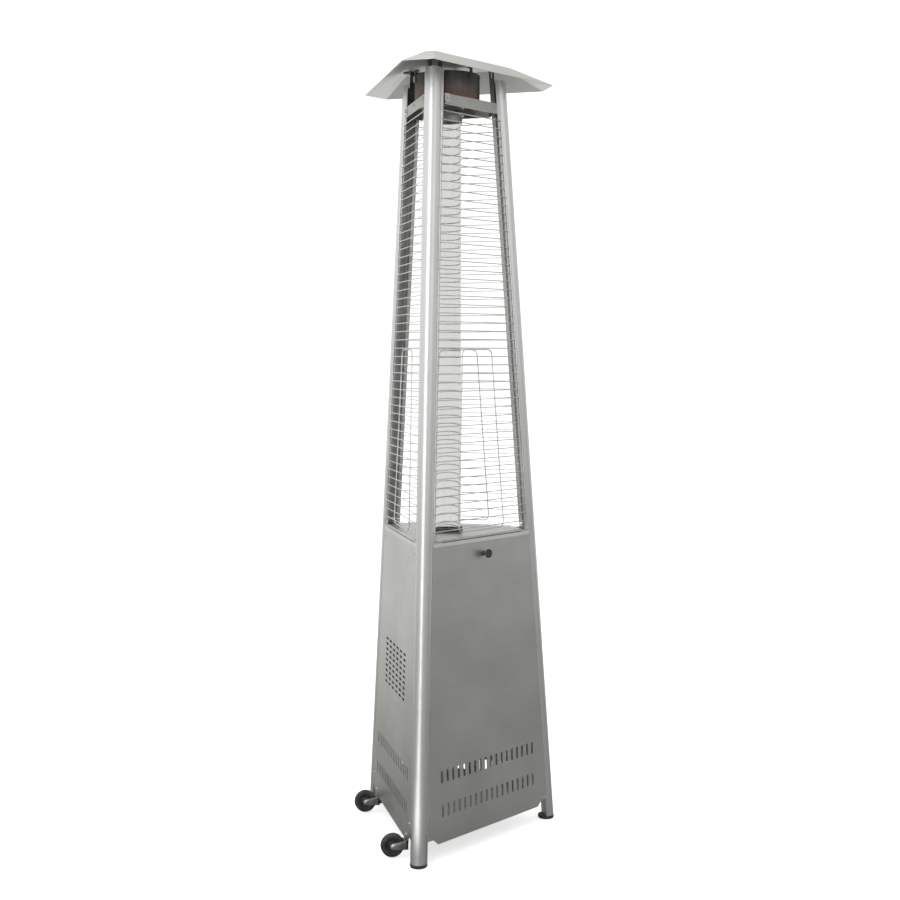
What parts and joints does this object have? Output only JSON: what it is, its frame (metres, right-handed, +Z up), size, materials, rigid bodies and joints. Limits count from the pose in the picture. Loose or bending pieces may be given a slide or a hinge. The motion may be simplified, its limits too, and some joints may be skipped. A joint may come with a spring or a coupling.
{
  "type": "patio heater",
  "caption": "Three-sided glass-tube gas patio heater with leaning tube posts, wire guards, a bottle cabinet, a folded hood and small transport wheels",
  "frame": {"origin": "on the floor under the middle of the whole object's box", "axes": "+Z up, the door faces -Y, +X is to the right seen from the front"},
  "size_m": [0.6115, 0.5338, 2.273],
  "materials": {
    "satin_steel": "satin stainless tube",
    "brushed_steel": "brushed stainless sheet",
    "wire": "plated steel wire",
    "hood_sheet": "dull stainless sheet",
    "dark_steel": "dark heat-proof paint",
    "heat_tinted_steel": "steel tinted brown by heat",
    "zinc": "zinc-plated steel",
    "brass": "plain brass",
    "glass": "clear heat-proof glass",
    "ceramic": "glazed white ceramic",
    "rubber": "matt black rubber",
    "tyre": "matt black rubber",
    "black_plastic": "fine matt black plastic"
  },
  "bodies": {
    "frame": {"lower_post_front_left": "satin_steel", "lower_post_front_right": "satin_steel", "lower_post_rear": "satin_steel", "upper_post_front_left": "satin_steel", "upper_post_front_right": "satin_steel", "upper_post_rear": "satin_steel", "foot_cap_front_left": "rubber", "foot_cap_front_right": "rubber", "foot_cap_rear": "rubber", "base_plate": "brushed_steel", "burner_deck": "brushed_steel", "top_tray": "brushed_steel", "left_panel": "brushed_steel", "right_panel": "brushed_steel", "hinge_bracket_right": "zinc", "hinge_bracket_left": "zinc", "door_magnet": "dark_steel", "guard_front": "wire", "guard_left": "wire", "guard_right": "wire", "guard_brace_front": "wire", "guard_brace_left": "wire", "guard_brace_right": "wire", "burner_bracket": "dark_steel", "burner_head": "dark_steel", "pilot_tube": "brass", "thermocouple": "dark_steel", "spark_electrode": "ceramic", "tube_seal": "dark_steel", "glass_tube": "glass", "tube_collar": "dark_steel", "flame_screen": "heat_tinted_steel", "hood": "hood_sheet", "hood_bracket_front_left": "dark_steel", "hood_bracket_front_right": "dark_steel", "hood_bracket_rear": "dark_steel", "hood_nut_front_left": "zinc", "hood_nut_front_right": "zinc", "hood_nut_rear": "zinc", "axle_front": "zinc", "wheel_fork_front": "zinc", "wheel_mount_front": "dark_steel", "axle_rear": "zinc", "wheel_fork_rear": "zinc", "wheel_mount_rear": "dark_steel", "control_plate": "black_plastic", "gas_valve": "brass", "igniter_body": "black_plastic", "gas_inlet": "brass", "gas_pipe": "brass", "tilt_switch": "black_plastic"},
    "door": {"door": "brushed_steel", "door_knob": "black_plastic"},
    "front_wheel": {"tyre_front": "tyre", "hub_front": "black_plastic"},
    "rear_wheel": {"tyre_rear": "tyre", "hub_rear": "black_plastic"},
    "spindle": {"valve_spindle": "brass"},
    "knob": {"control_knob": "black_plastic"},
    "igniter": {"igniter_button": "black_plastic"}
  },
  "joints": [
    {"name": "door_hinge", "type": "hinge", "parent": "frame", "child": "door", "pos_m": [0.00829, -0.24206, 0.062], "axis": [1, 0, 0], "range_deg": [0, 85]},
    {"name": "front_wheel_spin", "type": "hinge", "parent": "frame", "child": "front_wheel", "pos_m": [-0.27219, -0.1313, 0.036], "axis": [-0.5, -0.866, 0], "continuous": true},
    {"name": "rear_wheel_spin", "type": "hinge", "parent": "frame", "child": "rear_wheel", "pos_m": [-0.08219, 0.19779, 0.036], "axis": [-0.5, -0.866, 0], "continuous": true},
    {"name": "knob_push", "type": "slide", "parent": "frame", "child": "spindle", "axis": [-0.8654, -0.4997, -0.0367], "range_m": [0, 0.004], "stiffness_N_per_m": 900},
    {"name": "knob_turn", "type": "hinge", "parent": "spindle", "child": "knob", "pos_m": [0.16865, -0.02167, 0.79055], "axis": [0.8654, 0.4997, 0.0367], "range_deg": [0, 210]},
    {"name": "igniter_push", "type": "slide", "parent": "frame", "child": "igniter", "axis": [-0.8654, -0.4997, -0.0367], "range_m": [0, 0.004], "stiffness_N_per_m": 900}
  ]
}
